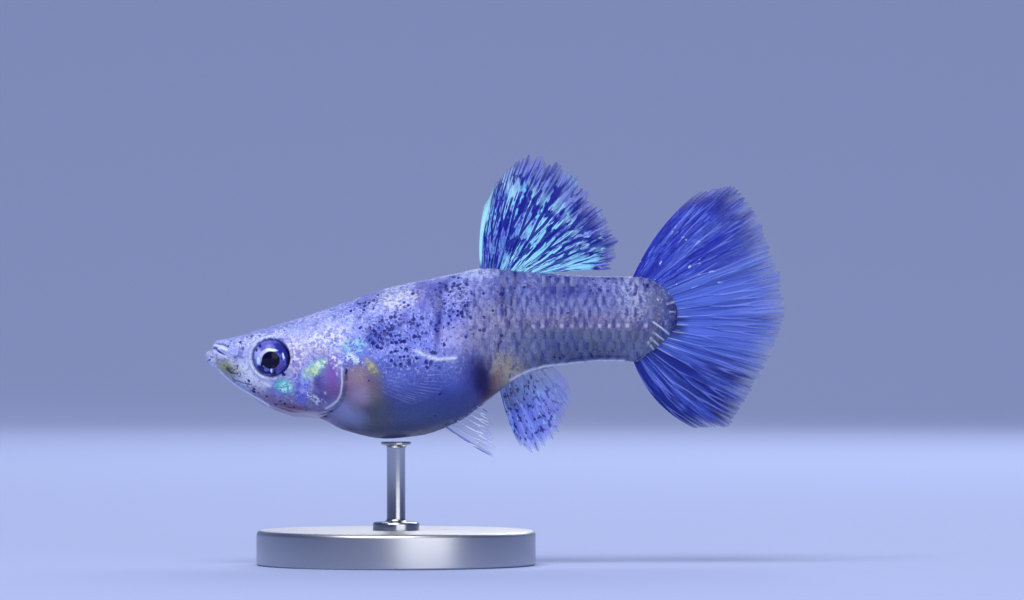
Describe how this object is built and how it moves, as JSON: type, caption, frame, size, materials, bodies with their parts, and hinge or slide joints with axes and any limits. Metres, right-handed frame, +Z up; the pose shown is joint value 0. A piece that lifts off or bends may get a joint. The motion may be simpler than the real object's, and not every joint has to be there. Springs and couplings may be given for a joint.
{
  "type": "fancy guppy",
  "caption": "Life-size still model of an adult female fancy guppy with a blue fan tail and a spotted dorsal fin, on a rod and a round base.",
  "frame": {"origin": "on the floor, under the middle of the whole part's box", "axes": "+Z up; the fish heads along -X, with its left side to -Y"},
  "size_m": [0.0501, 0.024, 0.0354],
  "materials": {
    "skin": "wet, scaled, silvery lavender with blue-violet flanks and navy specks",
    "gill_plate": "wet, smooth, violet with an iridescent sheen",
    "eye": "clear wet cornea over a navy iris with a silver ring and a black pupil",
    "marbled_fin": "thin ribbed membrane, turquoise with navy blotches",
    "blue_fin": "thin ribbed membrane, ultramarine blue, clearer at its edge",
    "clear_fin": "thin ribbed membrane, nearly clear with pale rays",
    "stand_steel": "turned and polished stainless steel",
    "stand_aluminium": "satin anodised, lathe turned"
  },
  "bodies": {
    "root": {"head": "skin", "lower_jaw": "skin", "gill_cover_left": "gill_plate", "gill_cover_right": "gill_plate", "eye_left": "eye", "eye_right": "eye", "trunk": "skin", "tail_stalk": "skin", "dorsal_fin": "marbled_fin", "caudal_fin": "blue_fin", "anal_fin": "clear_fin", "pectoral_fin_left": "clear_fin", "pectoral_fin_right": "clear_fin", "pelvic_fin_left": "clear_fin", "pelvic_fin_right": "clear_fin", "stand_rod": "stand_steel", "stand_base": "stand_aluminium"}
  },
  "joints": []
}
